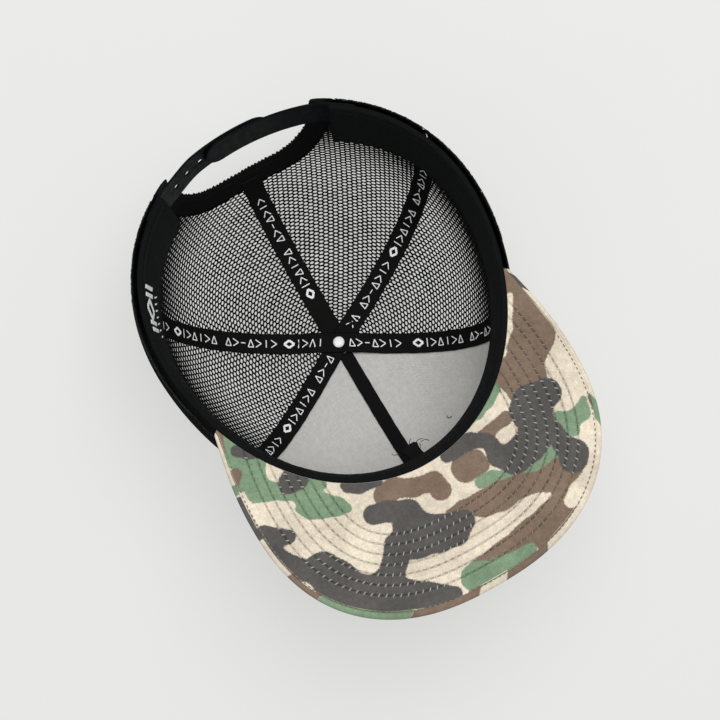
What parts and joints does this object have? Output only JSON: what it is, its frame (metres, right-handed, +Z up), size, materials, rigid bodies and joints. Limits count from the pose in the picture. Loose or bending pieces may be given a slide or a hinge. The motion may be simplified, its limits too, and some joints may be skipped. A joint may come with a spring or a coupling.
{
  "type": "trucker mesh cap",
  "caption": "Mesh-back cap with camouflage front and stitched brim, taped seams, sweatband and adjustable snap strap.",
  "frame": {"origin": "centre of the head opening, in the plane the rim rests on", "axes": "+Z up to the crown, -Y forward along the brim, +X to the wearer's left"},
  "size_m": [0.187, 0.2662, 0.1216],
  "materials": {
    "camo_cloth": "brushed cotton twill with a four-colour camouflage print",
    "grey_backing": "fused woven buckram",
    "black_mesh": "knitted polyester net",
    "black_tape": "woven seam tape",
    "black_band": "smooth brushed sweatband cloth",
    "strap_plastic": "satin moulded plastic",
    "board_plastic": "plain plastic sheet",
    "rivet_metal": "white painted"
  },
  "bodies": {
    "cap": {"front_panel_left": "camo_cloth", "front_panel_right": "camo_cloth", "front_backing_left": "grey_backing", "front_backing_right": "grey_backing", "side_mesh_left": "black_mesh", "side_mesh_right": "black_mesh", "rear_mesh_left": "black_mesh", "rear_mesh_right": "black_mesh", "arch_binding": "black_tape", "seam_tape_cross": "black_tape", "seam_tape_diagonal": "black_tape", "seam_tape_back": "black_tape", "seam_tape_front": "black_tape", "sweatband_cover": "black_band", "sweatband_padding": "black_band", "visor_under_cover": "camo_cloth", "visor_board": "board_plastic", "visor_top_cover": "camo_cloth", "hole_strap_root": "strap_plastic", "peg_strap_root": "strap_plastic", "top_button_cover": "camo_cloth", "top_button_core": "rivet_metal", "button_rivet": "rivet_metal"},
    "hole_strap": {"hole_strap_tongue": "strap_plastic"},
    "peg_strap": {"peg_strap_tongue": "strap_plastic"}
  },
  "joints": [
    {"name": "hole_strap_swing", "type": "hinge", "parent": "cap", "child": "hole_strap", "pos_m": [0.04234, 0.08681, 0.0096], "axis": [0.0479, 0.0983, -0.994], "range_deg": [0, 50], "stiffness_Nm_per_rad": 0.02},
    {"name": "peg_strap_swing", "type": "hinge", "parent": "cap", "child": "peg_strap", "pos_m": [-0.04234, 0.08681, 0.0096], "axis": [-0.0479, 0.0983, -0.994], "range_deg": [0, 35], "stiffness_Nm_per_rad": 0.02}
  ]
}
